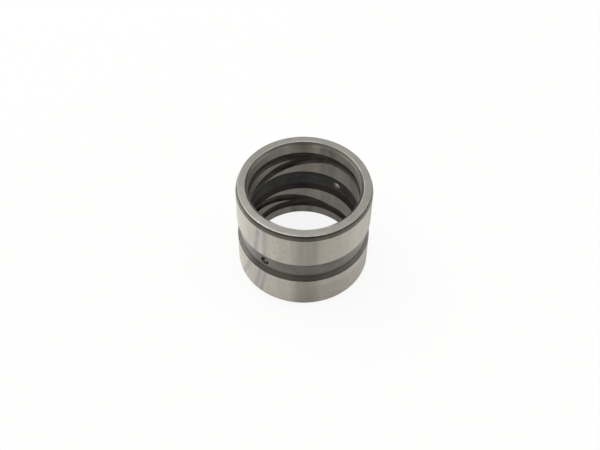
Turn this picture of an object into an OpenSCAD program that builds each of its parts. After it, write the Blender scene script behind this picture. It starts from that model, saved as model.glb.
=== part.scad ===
// Pivot sleeve bushing, turned from one piece of steel. It stands on its plain end, with the bore
// along Z and the tapered lead-in end up. The origin is the centre of the bottom end face.

/* [Sleeve] */
// Bore, a running fit on the pivot pin
bore_d = 70; // [50:0.5:120]
// Wall from the bore to the outside, which is a press fit in the housing
wall = 7.5; // [6:0.1:12]
// Length from end face to end face
sleeve_h = 67; // [63:0.5:90]

/* [Ends] */
// Length of the lead-in taper at the top of the outside
lead_in_h = 3.6; // [1:0.1:8]
// How far the lead-in taper comes in at the top face
lead_in_depth = 1.2; // [0.4:0.1:2]
// Length of the chamfer at the top of the bore
bore_chamfer_h = 1.4; // [0.4:0.1:3]
// How far the chamfer at the top of the bore opens
bore_chamfer_depth = 1.8; // [0.4:0.1:2.4]
// Chamfer at the bottom of the outside
foot_chamfer = 1.2; // [0.4:0.1:2]
// Chamfer at the bottom of the bore
bore_foot_chamfer = 0.4; // [0.2:0.1:1.5]

/* [Outside groove] */
// Height of the middle of the outside grease groove
outer_groove_z = 32; // [26:0.5:38]
// Width of the outside groove at its mouth
outer_groove_w = 16.5; // [10:0.5:24]
// Depth of the outside groove
outer_groove_depth = 1.8; // [0.8:0.1:2.4]
// Length of each sloping side of the outside groove
outer_groove_side = 4; // [0.5:0.1:4.8]

/* [Bore grooves] */
// Height of the middle of the wide groove in the bore
middle_groove_z = 32.7; // [30:0.1:36]
// Width of the wide groove at its mouth
middle_groove_w = 16.6; // [10:0.1:24]
// Length of each sloping side of the wide groove
middle_groove_side = 3.8; // [0.5:0.1:4.8]
// From the middle of the wide groove up or down to the middle of a narrow ring groove
ring_groove_spacing = 22.9; // [19:0.1:25]
// Width of the two narrow ring grooves at their mouths
ring_groove_w = 6.5; // [5:0.1:8]
// Length of each sloping side of a narrow groove
ring_groove_side = 1.4; // [0.4:0.1:2]
// Depth of the wide groove and the ring grooves
bore_groove_depth = 1.6; // [1:0.1:2.4]

/* [Crossing grooves] */
// Width of the two slanting grooves, measured along the bore
cross_groove_w = 6.4; // [5:0.1:8]
// How much shallower the slanting grooves are than the ring grooves
cross_groove_rise = 0.1; // [0.05:0.05:0.4]
// Direction from the axis in which both slanting grooves start
cross_groove_start = 61.5; // [0:0.5:180]
// Angle round the bore that each slanting groove takes from one ring groove to the other
cross_groove_turn = 309; // [200:1:340]

/* [Oil holes] */
// Diameter of the two oil holes
oil_hole_d = 6; // [3:0.5:8]
// Height of the oil holes
oil_hole_z = 32.5; // [29:0.5:36]
// Direction from the axis of the first oil hole, with the second opposite
oil_hole_angle = 54.7; // [0:0.1:180]

/* [Hidden] */
$fn = 180;
bore_r = bore_d / 2;
outer_r = bore_r + wall;
// How far a cutter reaches past the face that it opens
cut_past = 1;
// Angle between the stations along a slanting groove
cross_step = 3;
cross_stations = ceil(cross_groove_turn / cross_step);
cross_groove_depth = bore_groove_depth - cross_groove_rise;
lower_ring_z = middle_groove_z - ring_groove_spacing;
upper_ring_z = middle_groove_z + ring_groove_spacing;

// Corners of a groove's section from bottom to top: mouth, floor, floor, mouth. Positive inward cuts
// into the outside and negative inward cuts into the bore.
function groove_corners(face_r, inward, z, w, side) = [
    [face_r, z - w / 2],
    [face_r - inward, z - w / 2 + side],
    [face_r - inward, z + w / 2 - side],
    [face_r, z + w / 2]
];

function bore_groove_corners(z, w, side) =
    groove_corners(bore_r, -bore_groove_depth, z, w, side);

function reversed(list) = [for (i = [len(list) - 1:-1:0]) list[i]];

// Half of the turned section, up the outside and down the bore
module sleeve_section() {
    polygon(concat(
        [[outer_r - foot_chamfer, 0], [outer_r, foot_chamfer]],
        groove_corners(outer_r, outer_groove_depth, outer_groove_z, outer_groove_w, outer_groove_side),
        [[outer_r, sleeve_h - lead_in_h], [outer_r - lead_in_depth, sleeve_h]],
        [[bore_r + bore_chamfer_depth, sleeve_h], [bore_r, sleeve_h - bore_chamfer_h]],
        reversed(bore_groove_corners(upper_ring_z, ring_groove_w, ring_groove_side)),
        reversed(bore_groove_corners(middle_groove_z, middle_groove_w, middle_groove_side)),
        reversed(bore_groove_corners(lower_ring_z, ring_groove_w, ring_groove_side)),
        [[bore_r, bore_foot_chamfer], [bore_r + bore_foot_chamfer, 0]]
    ));
}

// Cutter for one slanting groove, whose height changes evenly with the angle round the bore
module slanting_cutter(start_z, end_z) {
    side_slope = ring_groove_side / bore_groove_depth;
    inner_r = bore_r - cut_past;
    floor_r = bore_r + cross_groove_depth;
    inner_half = cross_groove_w / 2 + cut_past * side_slope;
    floor_half = cross_groove_w / 2 - cross_groove_depth * side_slope;
    section = [[inner_r, -inner_half], [floor_r, -floor_half], [floor_r, floor_half], [inner_r, inner_half]];
    n = len(section);
    points = [
        for (i = [0:cross_stations], corner = section)
            let (
                share = i / cross_stations,
                a = cross_groove_start + cross_groove_turn * share,
                z = start_z + (end_z - start_z) * share
            )
            [corner[0] * cos(a), corner[0] * sin(a), z + corner[1]]
    ];
    sides = [
        for (i = [0:cross_stations - 1], k = [0:n - 1])
            let (here = i * n, ahead = here + n, next = (k + 1) % n)
            each [[here + k, here + next, ahead + next], [here + k, ahead + next, ahead + k]]
    ];
    last = cross_stations * n;
    ends = [[3, 2, 1, 0], [last, last + 1, last + 2, last + 3]];
    polyhedron(points = points, faces = concat(sides, ends), convexity = 10);
}

// Straight drilling through both walls, into the outside groove and the wide groove
module oil_holes() {
    translate([0, 0, oil_hole_z])
        rotate([0, 90, oil_hole_angle])
            cylinder(d = oil_hole_d, h = 2 * (outer_r + cut_past), center = true);
}

module bushing() {
    color([0.62, 0.61, 0.58])
        difference() {
            rotate_extrude()
                sleeve_section();
            slanting_cutter(upper_ring_z, lower_ring_z);
            slanting_cutter(lower_ring_z, upper_ring_z);
            oil_holes();
        }
}

bushing();
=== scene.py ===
from math import pi, radians, sin, tan

import bpy
from mathutils import Matrix, Vector


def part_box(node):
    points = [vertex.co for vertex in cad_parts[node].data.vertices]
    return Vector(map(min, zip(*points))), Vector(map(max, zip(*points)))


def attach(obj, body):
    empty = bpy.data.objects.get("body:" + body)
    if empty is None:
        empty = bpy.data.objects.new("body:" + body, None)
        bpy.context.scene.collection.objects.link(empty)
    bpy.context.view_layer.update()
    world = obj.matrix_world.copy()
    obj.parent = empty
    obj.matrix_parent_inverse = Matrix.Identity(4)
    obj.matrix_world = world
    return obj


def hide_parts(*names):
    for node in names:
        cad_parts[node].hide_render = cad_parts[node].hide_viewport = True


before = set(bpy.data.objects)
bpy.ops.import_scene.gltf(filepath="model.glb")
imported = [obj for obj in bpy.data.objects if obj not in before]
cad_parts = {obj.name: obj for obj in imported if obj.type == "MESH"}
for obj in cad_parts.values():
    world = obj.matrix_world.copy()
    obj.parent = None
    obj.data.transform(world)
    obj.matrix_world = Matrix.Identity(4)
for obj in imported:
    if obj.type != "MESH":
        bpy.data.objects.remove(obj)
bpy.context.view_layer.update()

# The sleeve is one piece of alloy steel, turned, bored and drilled, hardened, and then ground on the outside
# and in the bore. Grooves and taper were cut before hardening, so they keep the dark furnace skin. The lands
# are ground bright, and the end faces and oil holes are matt.
MM = 0.001
sleeve_top = Vector(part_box("bushing")[1])
outer_r = sleeve_top.x
sleeve_h = sleeve_top.z
wall = 7.5 * MM
bore_r = outer_r - wall

lead_in_h = 3.6 * MM
lead_in_depth = 1.2 * MM
bore_chamfer_h = 1.4 * MM
bore_chamfer_depth = 1.8 * MM
foot_chamfer = 1.2 * MM
bore_foot_chamfer = 0.4 * MM

outer_groove_z = 32 * MM
outer_groove_w = 16.5 * MM
outer_groove_depth = 1.8 * MM
outer_groove_side = 4 * MM

bore_groove_depth = 1.6 * MM
middle_groove_z = 32.7 * MM
middle_groove_w = 16.6 * MM
middle_groove_side = 3.8 * MM
ring_groove_spacing = 22.9 * MM
ring_groove_w = 6.5 * MM
ring_groove_side = 1.4 * MM
lower_ring_z = middle_groove_z - ring_groove_spacing
upper_ring_z = middle_groove_z + ring_groove_spacing

cross_groove_w = 6.4 * MM
cross_groove_depth = 1.5 * MM
cross_groove_start = radians(61.5)
cross_groove_turn = radians(309)

oil_hole_r = 3 * MM
oil_hole_z = 32.5 * MM
oil_hole_angle = radians(54.7)

# Roundings of the edges, as the stone and the deburring tool leave them
groove_edge = 0.15 * MM
groove_root = 0.7 * MM
taper_edge = 0.3 * MM
face_edge = 0.35 * MM
bore_foot_edge = 0.1 * MM


def arc_corner(before, corner, after, radius, steps=4):
    """Points that round a section's corner with an arc of this radius."""
    corner = Vector(corner)
    back = (Vector(before) - corner).normalized()
    ahead = (Vector(after) - corner).normalized()
    half = back.angle(ahead) / 2
    reach = radius / tan(half)
    middle = corner + (back + ahead).normalized() * radius / sin(half)
    first = corner + back * reach - middle
    turn = pi - 2 * half
    side = 1 if back.x * ahead.y - back.y * ahead.x < 0 else -1
    return [middle + Matrix.Rotation(side * turn * i / steps, 2) @ first for i in range(steps + 1)]


def rounded(corners):
    """A closed section from (radius, height, rounding) corners."""
    points = []
    for i, (r, z, rounding) in enumerate(corners):
        before = corners[i - 1]
        after = corners[(i + 1) % len(corners)]
        if rounding:
            points += arc_corner(before[:2], (r, z), after[:2], rounding)
        else:
            points.append(Vector((r, z)))
    return points


def groove_corners(face_r, depth, middle, width, side):
    """A groove with sloping sides, from bottom to top. A negative depth cuts into a bore."""
    return [
        (face_r, middle - width / 2, groove_edge),
        (face_r - depth, middle - width / 2 + side, groove_root),
        (face_r - depth, middle + width / 2 - side, groove_root),
        (face_r, middle + width / 2, groove_edge),
    ]


outside_corners = [
    (outer_r - foot_chamfer, 0, taper_edge),
    (outer_r, foot_chamfer, taper_edge),
    *groove_corners(outer_r, outer_groove_depth, outer_groove_z, outer_groove_w, outer_groove_side),
    (outer_r, sleeve_h - lead_in_h, taper_edge),
    (outer_r - lead_in_depth, sleeve_h, face_edge),
]
bore_corners = [
    (bore_r + bore_foot_chamfer, 0, bore_foot_edge),
    (bore_r, bore_foot_chamfer, bore_foot_edge),
    *groove_corners(bore_r, -bore_groove_depth, lower_ring_z, ring_groove_w, ring_groove_side),
    *groove_corners(bore_r, -bore_groove_depth, middle_groove_z, middle_groove_w, middle_groove_side),
    *groove_corners(bore_r, -bore_groove_depth, upper_ring_z, ring_groove_w, ring_groove_side),
    (bore_r, sleeve_h - bore_chamfer_h, taper_edge),
    (bore_r + bore_chamfer_depth, sleeve_h, face_edge),
]
turned_section = rounded(outside_corners + bore_corners[::-1])

# Section of the slanting grooves, measured along the bore, from inside the bore to the groove's floor
side_slope = ring_groove_side / bore_groove_depth
cut_past = 1 * MM


def cross_groove_half(depth):
    """Half the width of a slanting groove at this depth in the wall."""
    return cross_groove_w / 2 - depth * side_slope


cross_section = rounded([
    (bore_r - cut_past, -cross_groove_half(-cut_past), 0),
    (bore_r + cross_groove_depth, -cross_groove_half(cross_groove_depth), groove_root),
    (bore_r + cross_groove_depth, cross_groove_half(cross_groove_depth), groove_root),
    (bore_r - cut_past, cross_groove_half(-cut_past), 0),
])


def section_object(name, points):
    """An object that holds a closed section, with radius as X and height as Y."""
    mesh = bpy.data.meshes.new(name)
    edges = [(i, (i + 1) % len(points)) for i in range(len(points))]
    mesh.from_pydata([(point.x, point.y, 0) for point in points], edges, [])
    section = bpy.data.objects.new(name, mesh)
    bpy.context.collection.objects.link(section)
    return section


def geometry_tree(name, inputs):
    """A Geometry Nodes tree with these named inputs and one mesh output."""
    tree = bpy.data.node_groups.new(name, "GeometryNodeTree")
    sockets = {}
    for label, kind in inputs.items():
        sockets[label] = tree.interface.new_socket(label, in_out="INPUT", socket_type=kind)
    tree.interface.new_socket("Mesh", in_out="OUTPUT", socket_type="NodeSocketGeometry")
    return tree, sockets


def add_node(tree, kind, inputs=(), **settings):
    """Adds a node, applies its settings, and fills each input with a value or another node's output."""
    node = tree.nodes.new(kind)
    for setting, value in settings.items():
        setattr(node, setting, value)
    for socket, value in dict(inputs).items():
        if isinstance(value, bpy.types.NodeSocket):
            tree.links.new(value, node.inputs[socket])
        else:
            node.inputs[socket].default_value = value
    return node


def calculate(tree, operation, *terms):
    """One sum on one, two or three terms."""
    return add_node(tree, "ShaderNodeMath", enumerate(terms), operation=operation).outputs[0]


def parts_of(tree, vector):
    """The X, Y and Z of a vector."""
    return add_node(tree, "ShaderNodeSeparateXYZ", {0: vector}).outputs


def vector_from(tree, **parts):
    """A vector made of its X, Y and Z, with 0 for a part that isn't given."""
    return add_node(tree, "ShaderNodeCombineXYZ", parts).outputs[0]


def length_of(tree, vector):
    """How long a vector is."""
    return add_node(tree, "ShaderNodeVectorMath", {0: vector}, operation="LENGTH").outputs["Value"]


# Sweeps a section round the axis, as a tool does that feeds along the bore while the work turns
sweep, _ = geometry_tree("Sweep round the axis", {
    "Section": "NodeSocketGeometry",
    "Steps": "NodeSocketInt",
    "Start": "NodeSocketFloat",
    "Turn": "NodeSocketFloat",
    "Height": "NodeSocketFloat",
    "Rise": "NodeSocketFloat",
    "Ends": "NodeSocketBool",
})
given = add_node(sweep, "NodeGroupInput").outputs
line = add_node(sweep, "GeometryNodeCurvePrimitiveLine", {"Start": (0, 0, 0), "End": (1, 0, 0)})
stations = add_node(sweep, "GeometryNodeResampleCurve", {
    "Curve": line.outputs[0],
    "Count": calculate(sweep, "ADD", given["Steps"], 1),
})
section = add_node(sweep, "GeometryNodeMeshToCurve", {"Mesh": given["Section"]})
bar = add_node(sweep, "GeometryNodeCurveToMesh", {
    "Curve": stations.outputs[0],
    "Profile Curve": section.outputs[0],
    "Fill Caps": given["Ends"],
})
along = parts_of(sweep, add_node(sweep, "GeometryNodeInputPosition").outputs[0])
angle = calculate(sweep, "MULTIPLY_ADD", along["X"], given["Turn"], given["Start"])
climb = calculate(sweep, "MULTIPLY_ADD", along["X"], given["Rise"], given["Height"])
# The line runs along X, so a section's radius comes out along -Y and its height along -Z
radius = calculate(sweep, "MULTIPLY", along["Y"], -1)
height = calculate(sweep, "SUBTRACT", climb, along["Z"])
turning = add_node(sweep, "FunctionNodeAxisAngleToRotation", {"Axis": (0, 0, 1), "Angle": angle})
turned = add_node(sweep, "FunctionNodeRotateVector", {
    "Vector": vector_from(sweep, X=radius, Z=height),
    "Rotation": turning.outputs[0],
})
swept = add_node(sweep, "GeometryNodeSetPosition", {
    "Geometry": bar.outputs[0],
    "Position": turned.outputs[0],
})
facing_out = add_node(sweep, "GeometryNodeFlipFaces", {"Mesh": swept.outputs[0]})
add_node(sweep, "NodeGroupOutput", {"Mesh": facing_out.outputs[0]})

# The machining: a turned blank, less two slanting grooves and one drilling through both walls
machining, sleeve_inputs = geometry_tree("Machined sleeve", {
    "Turned Section": "NodeSocketGeometry",
    "Groove Section": "NodeSocketObject",
    "Steps": "NodeSocketInt",
    "Groove Start": "NodeSocketFloat",
    "Groove Turn": "NodeSocketFloat",
    "Lower Ring": "NodeSocketFloat",
    "Upper Ring": "NodeSocketFloat",
    "Hole Radius": "NodeSocketFloat",
    "Hole Height": "NodeSocketFloat",
    "Hole Angle": "NodeSocketFloat",
    "Outside Radius": "NodeSocketFloat",
    "Bore Radius": "NodeSocketFloat",
    "Wall Middle": "NodeSocketFloat",
    "Land Depth": "NodeSocketFloat",
    "Top Face": "NodeSocketFloat",
    "Foot Face": "NodeSocketFloat",
    "Groove Steel": "NodeSocketMaterial",
    "Ground Steel": "NodeSocketMaterial",
    "Hardened Steel": "NodeSocketMaterial",
    "Faced Steel": "NodeSocketMaterial",
})
given = add_node(machining, "NodeGroupInput").outputs
full_turn = 2 * pi
seam_gap = 0.001 * MM


def swept_round(section, **sizes):
    """A section swept round the axis, as a cut or as the blank."""
    sizes["Section"] = section
    return add_node(machining, "GeometryNodeGroup", sizes, node_tree=sweep).outputs[0]


blank = add_node(machining, "GeometryNodeMergeByDistance", {
    "Geometry": swept_round(given["Turned Section"], Steps=given["Steps"], Turn=full_turn, Ends=False),
    "Distance": seam_gap,
})

groove_object_info = add_node(machining, "GeometryNodeObjectInfo", {"Object": given["Groove Section"]})
groove_section = groove_object_info.outputs["Geometry"]
share_of_turn = calculate(machining, "DIVIDE", given["Groove Turn"], full_turn)
groove_path = {
    "Steps": calculate(machining, "MULTIPLY", share_of_turn, given["Steps"]),
    "Start": given["Groove Start"],
    "Turn": given["Groove Turn"],
    "Ends": True,
}
drop = calculate(machining, "SUBTRACT", given["Lower Ring"], given["Upper Ring"])
climb = calculate(machining, "SUBTRACT", given["Upper Ring"], given["Lower Ring"])
falling = swept_round(groove_section, Height=given["Upper Ring"], Rise=drop, **groove_path)
rising = swept_round(groove_section, Height=given["Lower Ring"], Rise=climb, **groove_path)

drill_sides = 64
drill_reach = 100 * MM
drill = add_node(machining, "GeometryNodeMeshCylinder", {
    "Vertices": drill_sides,
    "Radius": given["Hole Radius"],
    "Depth": drill_reach,
})
drilling = add_node(machining, "GeometryNodeTransform", {
    "Geometry": drill.outputs["Mesh"],
    "Translation": vector_from(machining, Z=given["Hole Height"]),
    "Rotation": vector_from(machining, Y=pi / 2, Z=given["Hole Angle"]),
})
cut = add_node(machining, "GeometryNodeMeshBoolean", {"Mesh 1": blank.outputs[0]},
               operation="DIFFERENCE", solver="MANIFOLD")
for tool in (drilling.outputs[0], rising, falling):
    machining.links.new(tool, cut.inputs["Mesh 2"])


def compared(a, operation, b, within=0.0):
    """Whether one number compares so with another. The margin is for EQUAL."""
    terms = {"A": a, "B": b}
    if operation == "EQUAL":
        terms["Epsilon"] = within
    return add_node(machining, "FunctionNodeCompare", terms, operation=operation).outputs[0]


def combined(a, operation, b):
    """Two yes-or-no answers combined into one."""
    return add_node(machining, "FunctionNodeBooleanMath", {0: a, 1: b}, operation=operation).outputs[0]


# Curved faces meet softly, and machined edges stay sharp
crease_angle = radians(24)
crease = add_node(machining, "GeometryNodeInputMeshEdgeAngle").outputs["Unsigned Angle"]
smooth_faces = add_node(machining, "GeometryNodeSetShadeSmooth", {
    "Geometry": cut.outputs["Mesh"],
    "Shade Smooth": True,
}, domain="FACE")
smooth = add_node(machining, "GeometryNodeSetShadeSmooth", {
    "Geometry": smooth_faces.outputs[0],
    "Shade Smooth": compared(crease, "LESS_THAN", crease_angle),
}, domain="EDGE")

# Which finish a face has, by where its middle lies
spot = parts_of(machining, add_node(machining, "GeometryNodeInputPosition").outputs[0])
flat_spot = vector_from(machining, X=spot["X"], Y=spot["Y"])
from_axis = length_of(machining, flat_spot)
on_outside = compared(from_axis, "EQUAL", given["Outside Radius"], given["Land Depth"])
on_bore = compared(from_axis, "EQUAL", given["Bore Radius"], given["Land Depth"])
in_bore = compared(from_axis, "LESS_THAN", given["Wall Middle"])
over_face = compared(spot["Z"], "GREATER_THAN", given["Top Face"])
under_face = compared(spot["Z"], "LESS_THAN", given["Foot Face"])
hole_wall_zone = 1.2 * MM
in_hole = compared(from_axis, "EQUAL", given["Wall Middle"], hole_wall_zone)
finished = add_node(machining, "GeometryNodeRealizeInstances", {"Geometry": smooth.outputs[0]}).outputs[0]
for steel, chosen in (
    ("Hardened Steel", None),
    ("Ground Steel", combined(on_outside, "OR", on_bore)),
    ("Groove Steel", combined(in_bore, "NIMPLY", on_bore)),
    ("Faced Steel", combined(combined(over_face, "OR", under_face), "OR", in_hole)),
):
    coat = add_node(machining, "GeometryNodeSetMaterial", {"Geometry": finished, "Material": given[steel]})
    if chosen:
        machining.links.new(chosen, coat.inputs["Selection"])
    finished = coat.outputs[0]
add_node(machining, "NodeGroupOutput", {"Mesh": finished})


def shader_group(name, inputs, outputs):
    """A shader node group. Its inputs are numbers with these values, and its outputs are of these kinds."""
    group = bpy.data.node_groups.new(name, "ShaderNodeTree")
    for label, value in inputs.items():
        number = group.interface.new_socket(label, in_out="INPUT", socket_type="NodeSocketFloat")
        number.default_value = value
    for label, kind in outputs.items():
        group.interface.new_socket(label, in_out="OUTPUT", socket_type=kind)
    return group


def eased(tree, value, low, high, at_low=0.0, at_high=1.0):
    """A value carried from one range to another without corners."""
    return add_node(tree, "ShaderNodeMapRange", {
        "Value": value,
        "From Min": low,
        "From Max": high,
        "To Min": at_low,
        "To Max": at_high,
    }, interpolation_type="SMOOTHSTEP").outputs["Result"]


# Where a point lies on turned work: its direction from the axis, how far that points to the back, its angle
# round the axis, its distance from the axis and its height
turned_place = shader_group("Place on turned work", {}, {
    "Direction": "NodeSocketVector",
    "Angle": "NodeSocketFloat",
    "Radius": "NodeSocketFloat",
    "Height": "NodeSocketFloat",
    "Backward": "NodeSocketFloat",
})
here = add_node(turned_place, "ShaderNodeTexCoord").outputs["Object"]
spot = parts_of(turned_place, here)
flat_spot = vector_from(turned_place, X=spot["X"], Y=spot["Y"])
facing = add_node(turned_place, "ShaderNodeVectorMath", {0: flat_spot}, operation="NORMALIZE").outputs[0]
add_node(turned_place, "NodeGroupOutput", {
    "Direction": facing,
    "Angle": calculate(turned_place, "ARCTAN2", spot["Y"], spot["X"]),
    "Radius": length_of(turned_place, flat_spot),
    "Height": spot["Z"],
    "Backward": parts_of(turned_place, facing)["Y"],
})


def place_on_work(tree):
    """Where the shaded point lies on the turned work."""
    return add_node(tree, "ShaderNodeGroup", node_tree=turned_place).outputs


def noise_on_work(group, round_scale, across_scale, detail, seed):
    """Noise stretched along or round the work. Across runs up the walls and outwards over the end faces."""
    spot = place_on_work(group)
    across = calculate(group, "ADD", spot["Height"], spot["Radius"])
    lift = calculate(group, "MULTIPLY_ADD", across, across_scale, seed)
    around = add_node(group, "ShaderNodeVectorMath", {0: spot["Direction"], "Scale": round_scale},
                      operation="SCALE")
    where = add_node(group, "ShaderNodeVectorMath", {0: around.outputs[0], 1: vector_from(group, Z=lift)},
                     operation="ADD")
    noise = add_node(group, "ShaderNodeTexNoise", {
        "Vector": where.outputs[0],
        "Scale": 1.0,
        "Detail": detail,
    })
    return noise.outputs[0]


# Lines that run round the work, as a lathe tool or a grinding wheel leaves them
tool_lines = shader_group("Tool lines", {
    "Lines": 2500.0,
    "Waver": 0.6,
    "Seed": 0.0,
}, {"Lines": "NodeSocketFloat"})
given = add_node(tool_lines, "NodeGroupInput").outputs
lines = noise_on_work(tool_lines, given["Waver"], given["Lines"], detail=3.0, seed=given["Seed"])
add_node(tool_lines, "NodeGroupOutput", {"Lines": eased(tool_lines, lines, 0.3, 0.7)})

# Bands that run along the work, a little lighter or darker
long_bands = shader_group("Bands along the work", {
    "Bands": 9.0,
    "Length": 6.0,
    "Seed": 0.0,
}, {"Bands": "NodeSocketFloat"})
given = add_node(long_bands, "NodeGroupInput").outputs
bands = noise_on_work(long_bands, given["Bands"], given["Length"], detail=2.5, seed=given["Seed"])
add_node(long_bands, "NodeGroupOutput", {"Bands": eased(long_bands, bands, 0.36, 0.64)})

# Soft clouds, as an oil film or a heat tint leaves them
clouds = shader_group("Clouds", {
    "Round": 3.0,
    "Across": 80.0,
    "Low": 0.45,
    "High": 0.7,
    "Seed": 0.0,
}, {"Clouds": "NodeSocketFloat"})
given = add_node(clouds, "NodeGroupInput").outputs
cloudy = noise_on_work(clouds, given["Round"], given["Across"], detail=5.0, seed=given["Seed"])
add_node(clouds, "NodeGroupOutput", {"Clouds": eased(clouds, cloudy, given["Low"], given["High"])})

# A narrow mark beside a turned corner, such as rust along an edge, painted shade in a root or a painted
# highlight on a rim
near_corner = shader_group("Beside a corner", {
    "Radius": 40 * MM,
    "Height": 60 * MM,
    "Width": 0.5 * MM,
    "Ragged": 1.6,
    "Seed": 0.0,
}, {"Mark": "NodeSocketFloat"})
given = add_node(near_corner, "NodeGroupInput").outputs
spot = place_on_work(near_corner)
off_corner = vector_from(
    near_corner,
    X=calculate(near_corner, "SUBTRACT", spot["Radius"], given["Radius"]),
    Y=calculate(near_corner, "SUBTRACT", spot["Height"], given["Height"]),
)
spread = calculate(near_corner, "DIVIDE", length_of(near_corner, off_corner), given["Width"])
uneven = noise_on_work(near_corner, round_scale=22.0, across_scale=900.0, detail=4.0, seed=given["Seed"])
uneven = calculate(near_corner, "SUBTRACT", uneven, 0.5)
uneven = calculate(near_corner, "MULTIPLY", uneven, given["Ragged"])
ragged_spread = calculate(near_corner, "SUBTRACT", spread, uneven)
add_node(near_corner, "NodeGroupOutput", {"Mark": eased(near_corner, ragged_spread, 1.0, -0.1)})

# A soft upright band, such as a wiped oily mark, painted shade or a painted highlight. It has a direction
# and a half width in degrees, a foot and a head, and a lean in degrees for each metre up
upright_band = shader_group("Upright band", {
    "Angle": 230.0,
    "Width": 4.0,
    "Low": 40 * MM,
    "High": 63 * MM,
    "Lean": 0.0,
    "Seed": 0.0,
}, {"Upright band": "NodeSocketFloat"})
given = add_node(upright_band, "NodeGroupInput").outputs
spot = place_on_work(upright_band)
turn = calculate(upright_band, "MULTIPLY_ADD", spot["Angle"], 180 / pi, 360)
turn = calculate(upright_band, "MODULO", turn, 360)
climb = calculate(upright_band, "SUBTRACT", spot["Height"], given["Low"])
drift = calculate(upright_band, "MULTIPLY", climb, given["Lean"])
wander = noise_on_work(upright_band, round_scale=3.0, across_scale=60.0, detail=3.0, seed=given["Seed"])
wander = calculate(upright_band, "MULTIPLY_ADD", wander, 2.0, -1.0)
middle = calculate(upright_band, "ADD", calculate(upright_band, "ADD", given["Angle"], drift), wander)
off_middle = calculate(upright_band, "ABSOLUTE", calculate(upright_band, "SUBTRACT", turn, middle))
across = eased(upright_band, calculate(upright_band, "DIVIDE", off_middle, given["Width"]), 0.7, 0.15)
fade = 4 * MM
foot = eased(upright_band, spot["Height"], given["Low"], calculate(upright_band, "ADD", given["Low"], fade))
head = eased(upright_band, spot["Height"], given["High"], calculate(upright_band, "SUBTRACT", given["High"], fade))
patchy = noise_on_work(upright_band, round_scale=14.0, across_scale=160.0, detail=4.0, seed=given["Seed"])
patchy = eased(upright_band, patchy, 0.35, 0.65, at_low=0.55, at_high=1.0)
upright = calculate(upright_band, "MULTIPLY", foot, head)
upright = calculate(upright_band, "MULTIPLY", upright, calculate(upright_band, "MULTIPLY", across, patchy))
add_node(upright_band, "NodeGroupOutput", {"Upright band": upright})


def new_steel(name):
    """A new steel material, with its tree and its shader."""
    steel = bpy.data.materials.new(name)
    steel.use_nodes = True
    shader = steel.node_tree.nodes["Principled BSDF"]
    shader.inputs["Metallic"].default_value = 1
    return steel, steel.node_tree, shader


def effect(tree, group, **values):
    """One of the effects above, with its own values."""
    return add_node(tree, "ShaderNodeGroup", values, node_tree=group).outputs[0]


def tinted(tree, base, tint, amount, strength=1.0):
    """A colour with a tint laid over it where the amount says so."""
    if strength != 1.0:
        amount = calculate(tree, "MULTIPLY", amount, strength)
    return add_node(tree, "ShaderNodeMix", {0: amount, 6: base, 7: tint}, data_type="RGBA").outputs[2]


def with_upright_marks(tree, colour, mark_rows, where=None):
    """A colour with upright marks laid over it: wipe marks, painted shade and painted highlights. Each has a
    direction and a half width in degrees, a foot and a head in mm, a lean, a colour and a strength."""
    for direction, width, foot, head, lean, mark_colour, strength in mark_rows:
        upright_mark = effect(tree, upright_band, Angle=direction, Width=width, Low=foot * MM, High=head * MM, Lean=lean,
                       Seed=direction)
        if where:
            upright_mark = calculate(tree, "MULTIPLY", upright_mark, where)
        colour = tinted(tree, colour, mark_colour, upright_mark, strength)
    return colour


def spread_gloss(tree, shader, amount):
    """Turns the gloss so that it spreads along the axis, as it does on work cut round and round."""
    shader.inputs["Anisotropic"].default_value = amount
    shader.inputs["Anisotropic Rotation"].default_value = 0.25
    tangent = add_node(tree, "ShaderNodeTangent", direction_type="RADIAL", axis="Z")
    tree.links.new(tangent.outputs[0], shader.inputs["Tangent"])


def fine_relief(tree, shader, height, depth):
    """Gives the surface its fine lines in relief."""
    bump = add_node(tree, "ShaderNodeBump", {"Height": height, "Distance": depth})
    tree.links.new(bump.outputs[0], shader.inputs["Normal"])


# Ground lands and bore: bright, with fine lines round them, faint bands along them and a thin oil tint
ground_steel, tree, shader = new_steel("ground steel")
spot = place_on_work(tree)
outside = eased(tree, spot["Radius"], bore_r + 2 * MM, outer_r - 3 * MM)
inside = calculate(tree, "SUBTRACT", 1.0, outside)

# The bore is painted darker towards its foot, as painted shade deep in the bore
shaded_bore_foot_colour = (0.35, 0.35, 0.32, 1)
bore_high_colour = (0.61, 0.615, 0.56, 1)
land_low_colour = (0.59, 0.568, 0.525, 1)
land_high_colour = (0.655, 0.635, 0.59, 1)
bore_colour = tinted(tree, shaded_bore_foot_colour, bore_high_colour, eased(tree, spot["Height"], 0, 60 * MM))
land_colour = tinted(tree, land_low_colour, land_high_colour, eased(tree, spot["Height"], 20 * MM, 44 * MM))
colour = tinted(tree, bore_colour, land_colour, outside)

bands = effect(tree, long_bands, Bands=7.0, Length=4.0, Seed=3.1)
fine_bands = effect(tree, long_bands, Bands=23.0, Length=7.0, Seed=8.4)
oil = effect(tree, clouds, Round=4.0, Across=45.0, Low=0.48, High=0.66, Seed=12.3)
dapple = effect(tree, clouds, Round=16.0, Across=300.0, Low=0.3, High=0.75, Seed=21.6)
lines = effect(tree, tool_lines, Lines=3800.0, Waver=0.8, Seed=1.7)
warm = effect(tree, long_bands, Bands=5.0, Length=9.0, Seed=31.7)
grain = effect(tree, clouds, Round=70.0, Across=1500.0, Low=0.38, High=0.62, Seed=2.2)
colour = tinted(tree, colour, (0.48, 0.465, 0.43, 1), bands, 0.42)
colour = tinted(tree, colour, (0.52, 0.49, 0.44, 1), fine_bands, 0.2)
colour = tinted(tree, colour, (0.60, 0.56, 0.46, 1), oil, 0.4)
colour = tinted(tree, colour, (0.74, 0.69, 0.60, 1), calculate(tree, "MULTIPLY", dapple, outside), 0.4)
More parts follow.
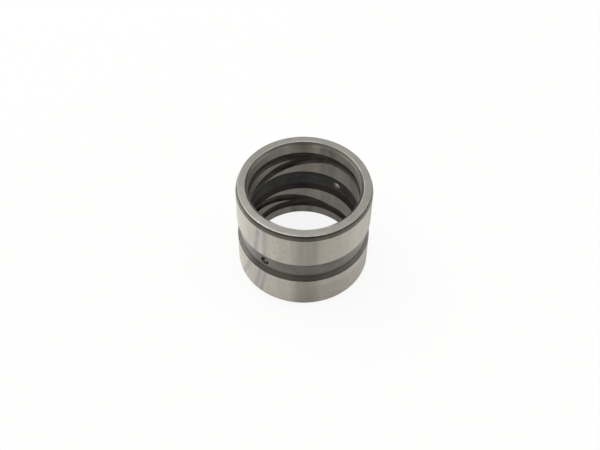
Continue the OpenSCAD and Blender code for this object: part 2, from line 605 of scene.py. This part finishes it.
colour = tinted(tree, colour, (0.48, 0.465, 0.44, 1), lines, 0.25)
colour = tinted(tree, colour, (0.52, 0.43, 0.35, 1), calculate(tree, "MULTIPLY", warm, inside), 0.15)
colour = tinted(tree, colour, (0.50, 0.485, 0.45, 1), grain, 0.18)

# Oily wipe marks on the outside, then painted shade at its foot and a mottled patch above the oil hole
wiped_colour = (0.34, 0.33, 0.40, 1)
colour = with_upright_marks(tree, colour, (
    (225.5, 5.0, 34, 72, 170, wiped_colour, 0.62),
    (236, 4.5, 34, 72, 40, wiped_colour, 0.6),
    (202, 6.0, -4, 30, 620, wiped_colour, 0.55),
    (223, 5.0, -4, 30, 330, wiped_colour, 0.65),
    (229, 4.0, -4, 30, 300, wiped_colour, 0.65),
), outside)
# Painted shade low on the outside, at the front right, near the table
painted_foot_shade = effect(tree, upright_band, Angle=309, Width=72.0, Low=-4 * MM, High=20 * MM, Seed=9.9)
painted_foot_shade = calculate(tree, "MULTIPLY", painted_foot_shade, outside)
colour = tinted(tree, colour, (0.40, 0.375, 0.335, 1), painted_foot_shade, 0.5)
mottles = effect(tree, clouds, Round=24.0, Across=330.0, Low=0.42, High=0.64, Seed=17.7)
mottled_patch = effect(tree, upright_band, Angle=251, Width=26.0, Low=38 * MM, High=68 * MM, Seed=5.5)
mottles = calculate(tree, "MULTIPLY", mottles, mottled_patch)
mottles = calculate(tree, "MULTIPLY", mottles, outside)
colour = tinted(tree, colour, (0.50, 0.458, 0.36, 1), mottles, 0.65)

# Faint upright bands in the bore, above the grooves, between them and at the foot. They are painted
# reflections: the pale ones are painted highlights and the dark ones painted shade
bore_foot_shade_colour = (0.24, 0.22, 0.22, 1)
colour = with_upright_marks(tree, colour, (
    (81, 9.0, 38, 72, 0, (0.62, 0.46, 0.36, 1), 0.5),
    (93, 11.0, 36, 72, 0, (0.58, 0.57, 0.40, 1), 0.45),
    (71, 8.0, 36, 72, 0, (0.30, 0.29, 0.27, 1), 0.5),
    (60, 9.0, 30, 72, 0, (0.33, 0.31, 0.29, 1), 0.5),
    (63, 24.0, 54, 72, 0, (0.20, 0.19, 0.17, 1), 0.65),
    (62, 20.0, 30, 56, 0, (0.30, 0.285, 0.265, 1), 0.45),
    (118, 14.0, 30, 72, 0, (0.38, 0.39, 0.34, 1), 0.4),
    (101, 8.0, -4, 8, 0, bore_foot_shade_colour, 0.6),
    (84, 9.0, -4, 8, 0, bore_foot_shade_colour, 0.6),
    (47, 9.0, -4, 11, 0, (0.25, 0.24, 0.32, 1), 0.4),
    (82, 6.0, 6, 32, 0, (0.62, 0.48, 0.40, 1), 0.4),
    (75, 5.0, 6, 32, 0, (0.62, 0.61, 0.58, 1), 0.3),
    (69, 5.0, 6, 32, 0, (0.36, 0.35, 0.33, 1), 0.3),
    (90, 5.0, 6, 32, 0, (0.34, 0.33, 0.31, 1), 0.3),
    (57, 6.0, 6, 32, 0, (0.60, 0.60, 0.58, 1), 0.3),
), inside)
tree.links.new(colour, shader.inputs["Base Color"])

bore_roughness = 0.31
rougher_bands = 0.04
rougher_outside = 0.11
roughness = calculate(tree, "MULTIPLY_ADD", bands, rougher_bands, bore_roughness)
roughness = calculate(tree, "MULTIPLY_ADD", outside, rougher_outside, roughness)
tree.links.new(roughness, shader.inputs["Roughness"])
spread_gloss(tree, shader, 1.0)
fine_relief(tree, shader, lines, 0.004 * MM)

# Hardened steel: the lead-in taper and the outside groove keep a dark furnace skin under a film of oil
hardened_steel, tree, shader = new_steel("hardened steel")
spot = place_on_work(tree)
lines = effect(tree, tool_lines, Lines=1900.0, Waver=0.5, Seed=5.2)
skin = effect(tree, clouds, Round=5.0, Across=120.0, Low=0.35, High=0.7, Seed=2.6)
# The groove's lower slope and the taper are painted darker: painted shade, for the dark they reflect
shaded_lower_slope = eased(tree, spot["Height"], 28.6 * MM, 27.6 * MM)
taper = eased(tree, spot["Height"], sleeve_h - 4 * MM, sleeve_h - 3.4 * MM)
colour = tinted(tree, (0.161, 0.152, 0.126, 1), (0.105, 0.094, 0.076, 1), skin, 0.8)
colour = tinted(tree, colour, (0.06, 0.056, 0.05, 1), lines, 0.4)
colour = tinted(tree, colour, (0.04, 0.032, 0.022, 1), shaded_lower_slope, 0.85)
colour = tinted(tree, colour, (0.045, 0.036, 0.026, 1), taper, 0.35)
# Painted highlights at both sides of the skin, and painted shade on the groove's upper slope at the right
colour = with_upright_marks(tree, colour, (
    (205, 32.0, -4, 75, 0, (0.27, 0.262, 0.24, 1), 0.6),
    (325, 40.0, -4, 75, 0, (0.22, 0.21, 0.19, 1), 0.35),
    (297, 30.0, 33, 46, 0, (0.05, 0.044, 0.037, 1), 0.8),
))

# Painted shade: dark lines under the rim and in the corners of the groove. There the oil film is dulled too
shade_under_rim = effect(tree, near_corner, Radius=outer_r - 1.1 * MM, Height=sleeve_h - 0.4 * MM, Width=2.1 * MM,
                   Ragged=0.7, Seed=4.8)
colour = tinted(tree, colour, (0.03, 0.017, 0.01, 1), shade_under_rim, 0.9)
shade_and_dull_film = shade_under_rim
for off_outside, height, width in (
    (0.2, 40.0, 1.7),
    (1.8, 27.8, 1.7),
    (0.1, 23.8, 1.2),
):
    corner_shade = effect(tree, near_corner, Radius=outer_r - off_outside * MM, Height=height * MM,
                    Width=width * MM, Ragged=0.6, Seed=height)
    colour = tinted(tree, colour, (0.03, 0.018, 0.012, 1), corner_shade, 0.5)
    shade_and_dull_film = calculate(tree, "MULTIPLY_ADD", corner_shade, 0.35, shade_and_dull_film)
wiped = effect(tree, upright_band, Angle=224, Width=7.0, Low=28 * MM, High=41 * MM, Lean=300, Seed=3.3)
colour = tinted(tree, colour, (0.13, 0.13, 0.17, 1), wiped, 0.6)
tree.links.new(colour, shader.inputs["Base Color"])
tree.links.new(calculate(tree, "MULTIPLY_ADD", skin, 0.08, 0.33), shader.inputs["Roughness"])
tree.links.new(calculate(tree, "MULTIPLY_ADD", shade_and_dull_film, -0.75, 1.0), shader.inputs["Coat Weight"])
shader.inputs["Coat Roughness"].default_value = 0.3
spread_gloss(tree, shader, 0.9)
fine_relief(tree, shader, lines, 0.01 * MM)

# Oil grooves in the bore: the same skin, with painted shade on faces that look up and on the wide groove's
# sides
groove_steel, tree, shader = new_steel("oiled groove steel")
spot = place_on_work(tree)
lines = effect(tree, tool_lines, Lines=1500.0, Waver=0.5, Seed=7.7)
skin = effect(tree, clouds, Round=5.0, Across=150.0, Low=0.35, High=0.7, Seed=4.1)
off_middle = calculate(tree, "SUBTRACT", spot["Height"], middle_groove_z)
off_middle = calculate(tree, "ABSOLUTE", off_middle)
wide_floor = eased(tree, off_middle, 4.9 * MM, 4.2 * MM)
colour = tinted(tree, (0.13, 0.116, 0.106, 1), (0.085, 0.075, 0.069, 1), skin, 0.9)
wide_floor_colour = tinted(tree, (0.135, 0.135, 0.14, 1), (0.09, 0.088, 0.089, 1), skin, 0.9)
colour = tinted(tree, colour, wide_floor_colour, wide_floor)
colour = tinted(tree, colour, (0.06, 0.056, 0.054, 1), lines, 0.35)
# Faces that look up are painted darker: painted shade, for the dark they reflect
tilt = parts_of(tree, add_node(tree, "ShaderNodeNewGeometry").outputs["Normal"])["Z"]
colour = tinted(tree, colour, (0.055, 0.048, 0.043, 1), eased(tree, tilt, 0.15, 0.5), 0.75)

# The chamfer at the top of the bore keeps the skin, with a painted highlight at the front, and rust along
# its edge at the back
chamfer_highlight = (0.6, 0.59, 0.56, 1)
skinned_chamfer = (0.145, 0.142, 0.125, 1)
chamfer_colour = tinted(tree, chamfer_highlight, skinned_chamfer, eased(tree, spot["Backward"], -0.93, -0.75))
left_side = effect(tree, upright_band, Angle=150, Width=42.0, Low=58 * MM, High=78 * MM, Seed=15.0)
chamfer_colour = tinted(tree, chamfer_colour, (0.21, 0.205, 0.18, 1), left_side, 0.8)
chamfer = eased(tree, spot["Height"], sleeve_h - 1.8 * MM, sleeve_h - 1.4 * MM)
colour = tinted(tree, colour, chamfer_colour, chamfer)
rusty = effect(tree, near_corner, Radius=bore_r + 1.4 * MM, Height=sleeve_h - 0.4 * MM, Width=0.6 * MM,
               Seed=2.9)
rusty = calculate(tree, "MULTIPLY", rusty, eased(tree, spot["Backward"], -0.3, 0.4))
rusty = calculate(tree, "MULTIPLY", rusty, calculate(tree, "MULTIPLY_ADD", left_side, -0.8, 1.0))
colour = tinted(tree, colour, (0.10, 0.06, 0.045, 1), rusty, 0.6)

# Painted light and shade where the slanting grooves run into the ring grooves: two pale patches, one dark
colour = with_upright_marks(tree, colour, (
    (134, 24.0, 8, 30, 0, (0.24, 0.215, 0.19, 1), 0.7),
    (97, 15.0, 48, 58, 0, (0.17, 0.152, 0.135, 1), 0.6),
    (74, 9.0, 48, 56, 0, (0.04, 0.034, 0.03, 1), 0.6),
))
# The sides of the wide groove are painted darker: painted shade
shaded_wide_sides = eased(tree, off_middle, 10 * MM, 8.4 * MM)
shaded_wide_sides = calculate(tree, "MULTIPLY", shaded_wide_sides, calculate(tree, "SUBTRACT", 1.0, wide_floor))
colour = tinted(tree, colour, (0.075, 0.069, 0.066, 1), shaded_wide_sides, 0.9)
tree.links.new(colour, shader.inputs["Base Color"])
shader.inputs["Roughness"].default_value = 0.42
spread_gloss(tree, shader, 0.9)
fine_relief(tree, shader, lines, 0.01 * MM)

# End faces: faced off in the lathe and left matt, with painted highlights along their edges
faced_steel, tree, shader = new_steel("faced steel")
spot = place_on_work(tree)
lines = effect(tree, tool_lines, Lines=2600.0, Waver=0.5, Seed=9.3)
skin = effect(tree, clouds, Round=6.0, Across=200.0, Low=0.35, High=0.7, Seed=6.4)
grain = effect(tree, clouds, Round=60.0, Across=2600.0, Low=0.35, High=0.65, Seed=1.4)
colour = tinted(tree, (0.43, 0.43, 0.40, 1), (0.35, 0.35, 0.33, 1), skin, 0.8)
colour = tinted(tree, colour, (0.28, 0.277, 0.255, 1), grain, 0.5)
colour = tinted(tree, colour, (0.26, 0.257, 0.237, 1), lines, 0.3)
# Painted highlights: broken bright lines along the outer and inner rims, and one more at the front left
for edge_r, strength in (
    (outer_r - 1.25 * MM, 0.5),
    (bore_r + 1.85 * MM, 0.6),
):
    rim_highlight = effect(tree, near_corner, Radius=edge_r, Height=sleeve_h, Width=0.38 * MM, Seed=edge_r * 1000)
    highlight_breaks = effect(tree, clouds, Round=1.6, Across=10.0, Low=0.38, High=0.6, Seed=edge_r * 900)
    rim_highlight = calculate(tree, "MULTIPLY", rim_highlight, highlight_breaks)
    colour = tinted(tree, colour, (0.88, 0.865, 0.81, 1), rim_highlight, strength)
highlight_side = effect(tree, upright_band, Angle=243, Width=60.0, Low=60 * MM, High=80 * MM, Seed=8.1)
front_rim_highlight = effect(tree, near_corner, Radius=outer_r - 1.75 * MM, Height=sleeve_h, Width=0.5 * MM, Seed=3.9)
front_rim_highlight = calculate(tree, "MULTIPLY", highlight_side, front_rim_highlight)
colour = tinted(tree, colour, (0.88, 0.855, 0.79, 1), front_rim_highlight, 0.6)

# The oil holes are drilled to the same finish and painted darker inside as painted shade, most of all the
# back one. The front one's outer mouth is painted dark too, as painted shade
drilled = eased(tree, spot["Height"], sleeve_h - 5 * MM, sleeve_h - 6 * MM)
back_hole = eased(tree, spot["Backward"], -0.1, 0.1)
hole_shade_colour = tinted(tree, (0.25, 0.245, 0.23, 1), (0.10, 0.098, 0.092, 1), back_hole)
hole_shade_strength = calculate(tree, "MULTIPLY_ADD", back_hole, 0.5, 0.4)
colour = tinted(tree, colour, hole_shade_colour, calculate(tree, "MULTIPLY", drilled, hole_shade_strength))
mouth = eased(tree, spot["Radius"], 38.2 * MM, 40.2 * MM)
mouth_shade_colour = tinted(tree, (0.13, 0.125, 0.115, 1), (0.40, 0.39, 0.365, 1), back_hole)
colour = tinted(tree, colour, mouth_shade_colour, calculate(tree, "MULTIPLY", mouth, drilled))
tree.links.new(colour, shader.inputs["Base Color"])
shader.inputs["Roughness"].default_value = 0.48
spread_gloss(tree, shader, 0.4)
fine_relief(tree, shader, lines, 0.008 * MM)

sleeve = section_object("bushing_sleeve", turned_section)
slanting_groove = section_object("slanting groove", cross_section)
machine = sleeve.modifiers.new("machining", "NODES")
machine.node_group = machining
steps_round = 480
for label, value in {
    "Groove Section": slanting_groove,
    "Steps": steps_round,
    "Groove Start": cross_groove_start,
    "Groove Turn": cross_groove_turn,
    "Lower Ring": lower_ring_z,
    "Upper Ring": upper_ring_z,
    "Hole Radius": oil_hole_r,
    "Hole Height": oil_hole_z,
    "Hole Angle": oil_hole_angle,
    "Outside Radius": outer_r,
    "Bore Radius": bore_r,
    "Wall Middle": (outer_r + bore_r) / 2,
    "Land Depth": 0.12 * MM,
    "Top Face": sleeve_h - 0.25 * MM,
    "Foot Face": 0.1 * MM,
    "Groove Steel": groove_steel,
    "Ground Steel": ground_steel,
    "Hardened Steel": hardened_steel,
    "Faced Steel": faced_steel,
}.items():
    machine[sleeve_inputs[label].identifier] = value
evaluated = sleeve.evaluated_get(bpy.context.evaluated_depsgraph_get())
machined = bpy.data.meshes.new_from_object(evaluated)
sleeve.modifiers.remove(machine)
sleeve.data = machined
machined.materials.pop(index=0)
bpy.data.objects.remove(slanting_groove)
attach(sleeve, "root")
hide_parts("bushing")

# The table is a wide wooden board, painted with a matt, nearly white paint. It looks white from above, and
# keeps the soft shadow of the sleeve. Nothing fixes the sleeve, which stands on it by its own weight.
table_reach = 3.0
table_corners = [
    (-table_reach, -table_reach, 0),
    (table_reach, -table_reach, 0),
    (table_reach, table_reach, 0),
    (-table_reach, table_reach, 0),
]
floor_mesh = bpy.data.meshes.new("floor")
floor_mesh.from_pydata(table_corners, [], [(0, 1, 2, 3)])
floor = bpy.data.objects.new("floor", floor_mesh)
bpy.context.collection.objects.link(floor)

table_white = bpy.data.materials.new("pale floor")
table_white.use_nodes = True
floor_mesh.materials.append(table_white)
tree = table_white.node_tree
tree.nodes.clear()
white_seen = 0.86
white_mirrored = 0.15
white_strength = 1.02
rays = add_node(tree, "ShaderNodeLightPath").outputs
seen = calculate(tree, "MAXIMUM", rays["Is Camera Ray"], rays["Is Transmission Ray"])
seen = calculate(tree, "MULTIPLY", seen, white_seen)
mirrored = calculate(tree, "MULTIPLY", rays["Is Glossy Ray"], white_mirrored)
matt = add_node(tree, "ShaderNodeBsdfDiffuse", {"Color": (0.88, 0.88, 0.87, 1)})
white = add_node(tree, "ShaderNodeEmission", {"Color": (1, 1, 1, 1), "Strength": white_strength})
face = add_node(tree, "ShaderNodeMixShader", {
    0: calculate(tree, "MAXIMUM", seen, mirrored),
    1: matt.outputs[0],
    2: white.outputs[0],
})
add_node(tree, "ShaderNodeOutputMaterial", {"Surface": face.outputs[0]})


# Three soft boxes of white cloth over lamps hang above the table on stands. The large ones stand behind the
# sleeve at the left and at the right, and the small one hangs over it.
def soft_box(name, watts, side, place):
    """A square soft box that is turned to the middle of the sleeve."""
    lamp_data = bpy.data.lights.new(name, "AREA")
    lamp_data.energy = watts
    lamp_data.shape = "RECTANGLE"
    lamp_data.size = side
    lamp_data.size_y = side
    lamp = bpy.data.objects.new(name, lamp_data)
    bpy.context.collection.objects.link(lamp)
    lamp.location = place
    lamp.rotation_euler = (lit_spot - Vector(place)).to_track_quat("-Z", "Y").to_euler()


lit_spot = Vector((0, 0, 30 * MM))
soft_box("key light", 4, 0.8, (-0.7, 0.5, 1.1))
soft_box("fill light", 1.2, 0.8, (0.9, 0.1, 0.8))
soft_box("top light", 0.9, 0.3, (0.1, 0.1, 1.1))

# The room has pale painted plaster walls and a lighter ceiling. The steel mirrors them, brighter on the left
# and at the front. Two cloth screens hang at the front, and the unlit gap between them, 7 degrees to the
# right of the camera, is the dark band on the lands.
world = bpy.data.worlds.new("studio")
bpy.context.scene.world = world
world.use_nodes = True
tree = world.node_tree
tree.nodes.clear()
front_wall = 0.78
back_wall = 0.62
left_to_right = -0.18
ceiling_lift = 0.12
toward = parts_of(tree, add_node(tree, "ShaderNodeTexCoord").outputs["Generated"])
walls = eased(tree, toward["Y"], -0.8, 0.8, front_wall, back_wall)
walls = calculate(tree, "MULTIPLY_ADD", toward["X"], left_to_right, walls)
ceiling = eased(tree, toward["Z"], 0.2, 0.9, 0.0, ceiling_lift)

gap_direction = radians(7)
gap_half = radians(18)
screen_edge = radians(20.5)
direction = calculate(tree, "ARCTAN2", toward["X"], calculate(tree, "MULTIPLY", toward["Y"], -1))
off_gap = calculate(tree, "ABSOLUTE", calculate(tree, "SUBTRACT", direction, gap_direction))
over_screens = eased(tree, toward["Z"], 0.86, 0.97)
lit = calculate(tree, "MAXIMUM", over_screens, eased(tree, off_gap, gap_half, screen_edge))
room_colour = add_node(tree, "ShaderNodeMix", {
    0: lit,
    6: (0.8, 0.86, 1, 1),
    7: (1, 0.98, 0.94, 1),
}, data_type="RGBA")
room = add_node(tree, "ShaderNodeBackground", {
    "Color": room_colour.outputs[2],
    "Strength": calculate(tree, "MULTIPLY", calculate(tree, "ADD", walls, ceiling), lit),
})
white = add_node(tree, "ShaderNodeBackground", {"Color": (1, 1, 1, 1), "Strength": white_strength})
rays = add_node(tree, "ShaderNodeLightPath").outputs
surroundings = add_node(tree, "ShaderNodeMixShader", {
    0: calculate(tree, "MAXIMUM", rays["Is Camera Ray"], rays["Is Transmission Ray"]),
    1: room.outputs[0],
    2: white.outputs[0],
})
add_node(tree, "ShaderNodeOutputWorld", {"Surface": surroundings.outputs[0]})

# The camera stands on a metal tripod in front of the sleeve, about 0.6 m from it, and looks down at some 50
# degrees. It is level to within a degree.
camera_data = bpy.data.cameras.new("camera")
camera_data.lens = 53.56
camera = bpy.data.objects.new("camera", camera_data)
bpy.context.collection.objects.link(camera)
bpy.context.scene.camera = camera
camera_place = Vector((0, -0.3682, 0.4726))
looked_at = Vector((-0.0023, 0, 0.02766))
camera_roll = radians(0.97)
look = (looked_at - camera_place).to_track_quat("-Z", "Y").to_matrix()
turned_look = look @ Matrix.Rotation(camera_roll, 3, "Z")
camera.matrix_world = Matrix.Translation(camera_place) @ turned_look.to_4x4()

bpy.context.scene.view_settings.view_transform = "Standard"
